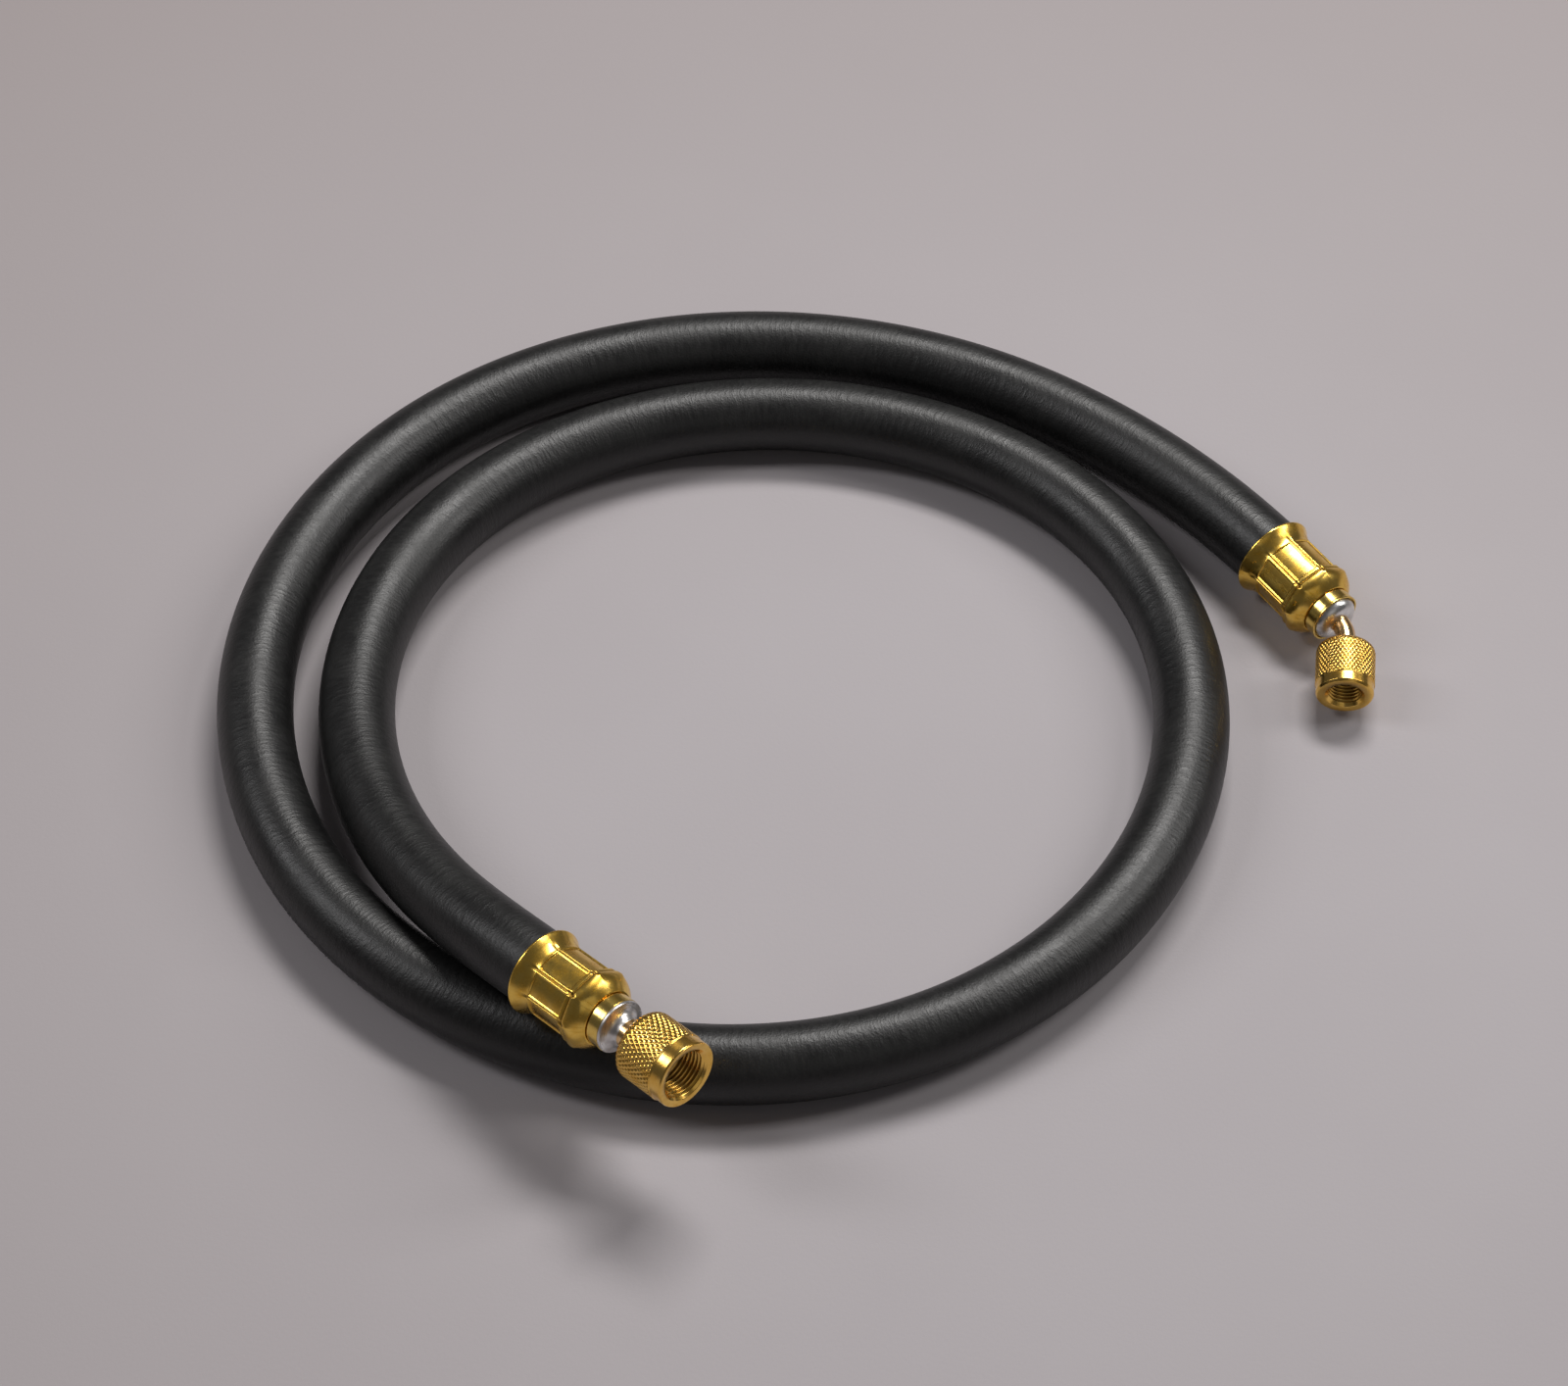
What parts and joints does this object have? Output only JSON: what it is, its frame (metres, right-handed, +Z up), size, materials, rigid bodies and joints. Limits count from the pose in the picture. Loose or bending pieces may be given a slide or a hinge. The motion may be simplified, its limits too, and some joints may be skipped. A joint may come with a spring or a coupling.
{
  "type": "refrigerant charging hose",
  "caption": "Thick black rubber refrigerant charging hose lying in a coil, with crimped brass ferrules and knurled swivel flare nuts on a straight end and a bent end.",
  "frame": {"origin": "middle of the base of the whole object's box, on the surface that the hose lies on", "axes": "+Z up, +X to the side that the bent end lies on, along the longest extent; the straight end lies towards -Y"},
  "size_m": [0.3745, 0.3505, 0.0578],
  "materials": {
    "hose_rubber": "matte black rubber cover with a fine crosswise wrap texture",
    "ferrule_brass": "pressed and polished brass",
    "turned_brass": "bright turned brass",
    "solder": "bright silver solder",
    "tube_copper": "drawn copper alloy tube, polished",
    "seal_rubber": "smooth moulded black rubber",
    "nut_brass": "diamond knurled and turned brass"
  },
  "bodies": {
    "root": {"hose": "hose_rubber", "ferrule_3_8": "ferrule_brass", "stem_3_8": "turned_brass", "solder_3_8": "solder", "tube_3_8": "tube_copper", "gasket_3_8": "seal_rubber", "ferrule_1_4": "ferrule_brass", "stem_1_4": "turned_brass", "solder_1_4": "solder", "tube_1_4": "tube_copper", "gasket_1_4": "seal_rubber"},
    "straight_nut": {"nut_3_8": "nut_brass"},
    "bent_nut": {"nut_1_4": "nut_brass"}
  },
  "joints": [
    {"name": "straight_nut_swivel", "type": "hinge", "parent": "root", "child": "straight_nut", "pos_m": [-0.04739, -0.15341, 0.04438], "axis": [0.7005, -0.7005, 0.1365], "continuous": true},
    {"name": "bent_nut_swivel", "type": "hinge", "parent": "root", "child": "bent_nut", "pos_m": [0.17792, 0.02493, 0.01342], "axis": [-0.0902, -0.9883, -0.1226], "continuous": true}
  ]
}
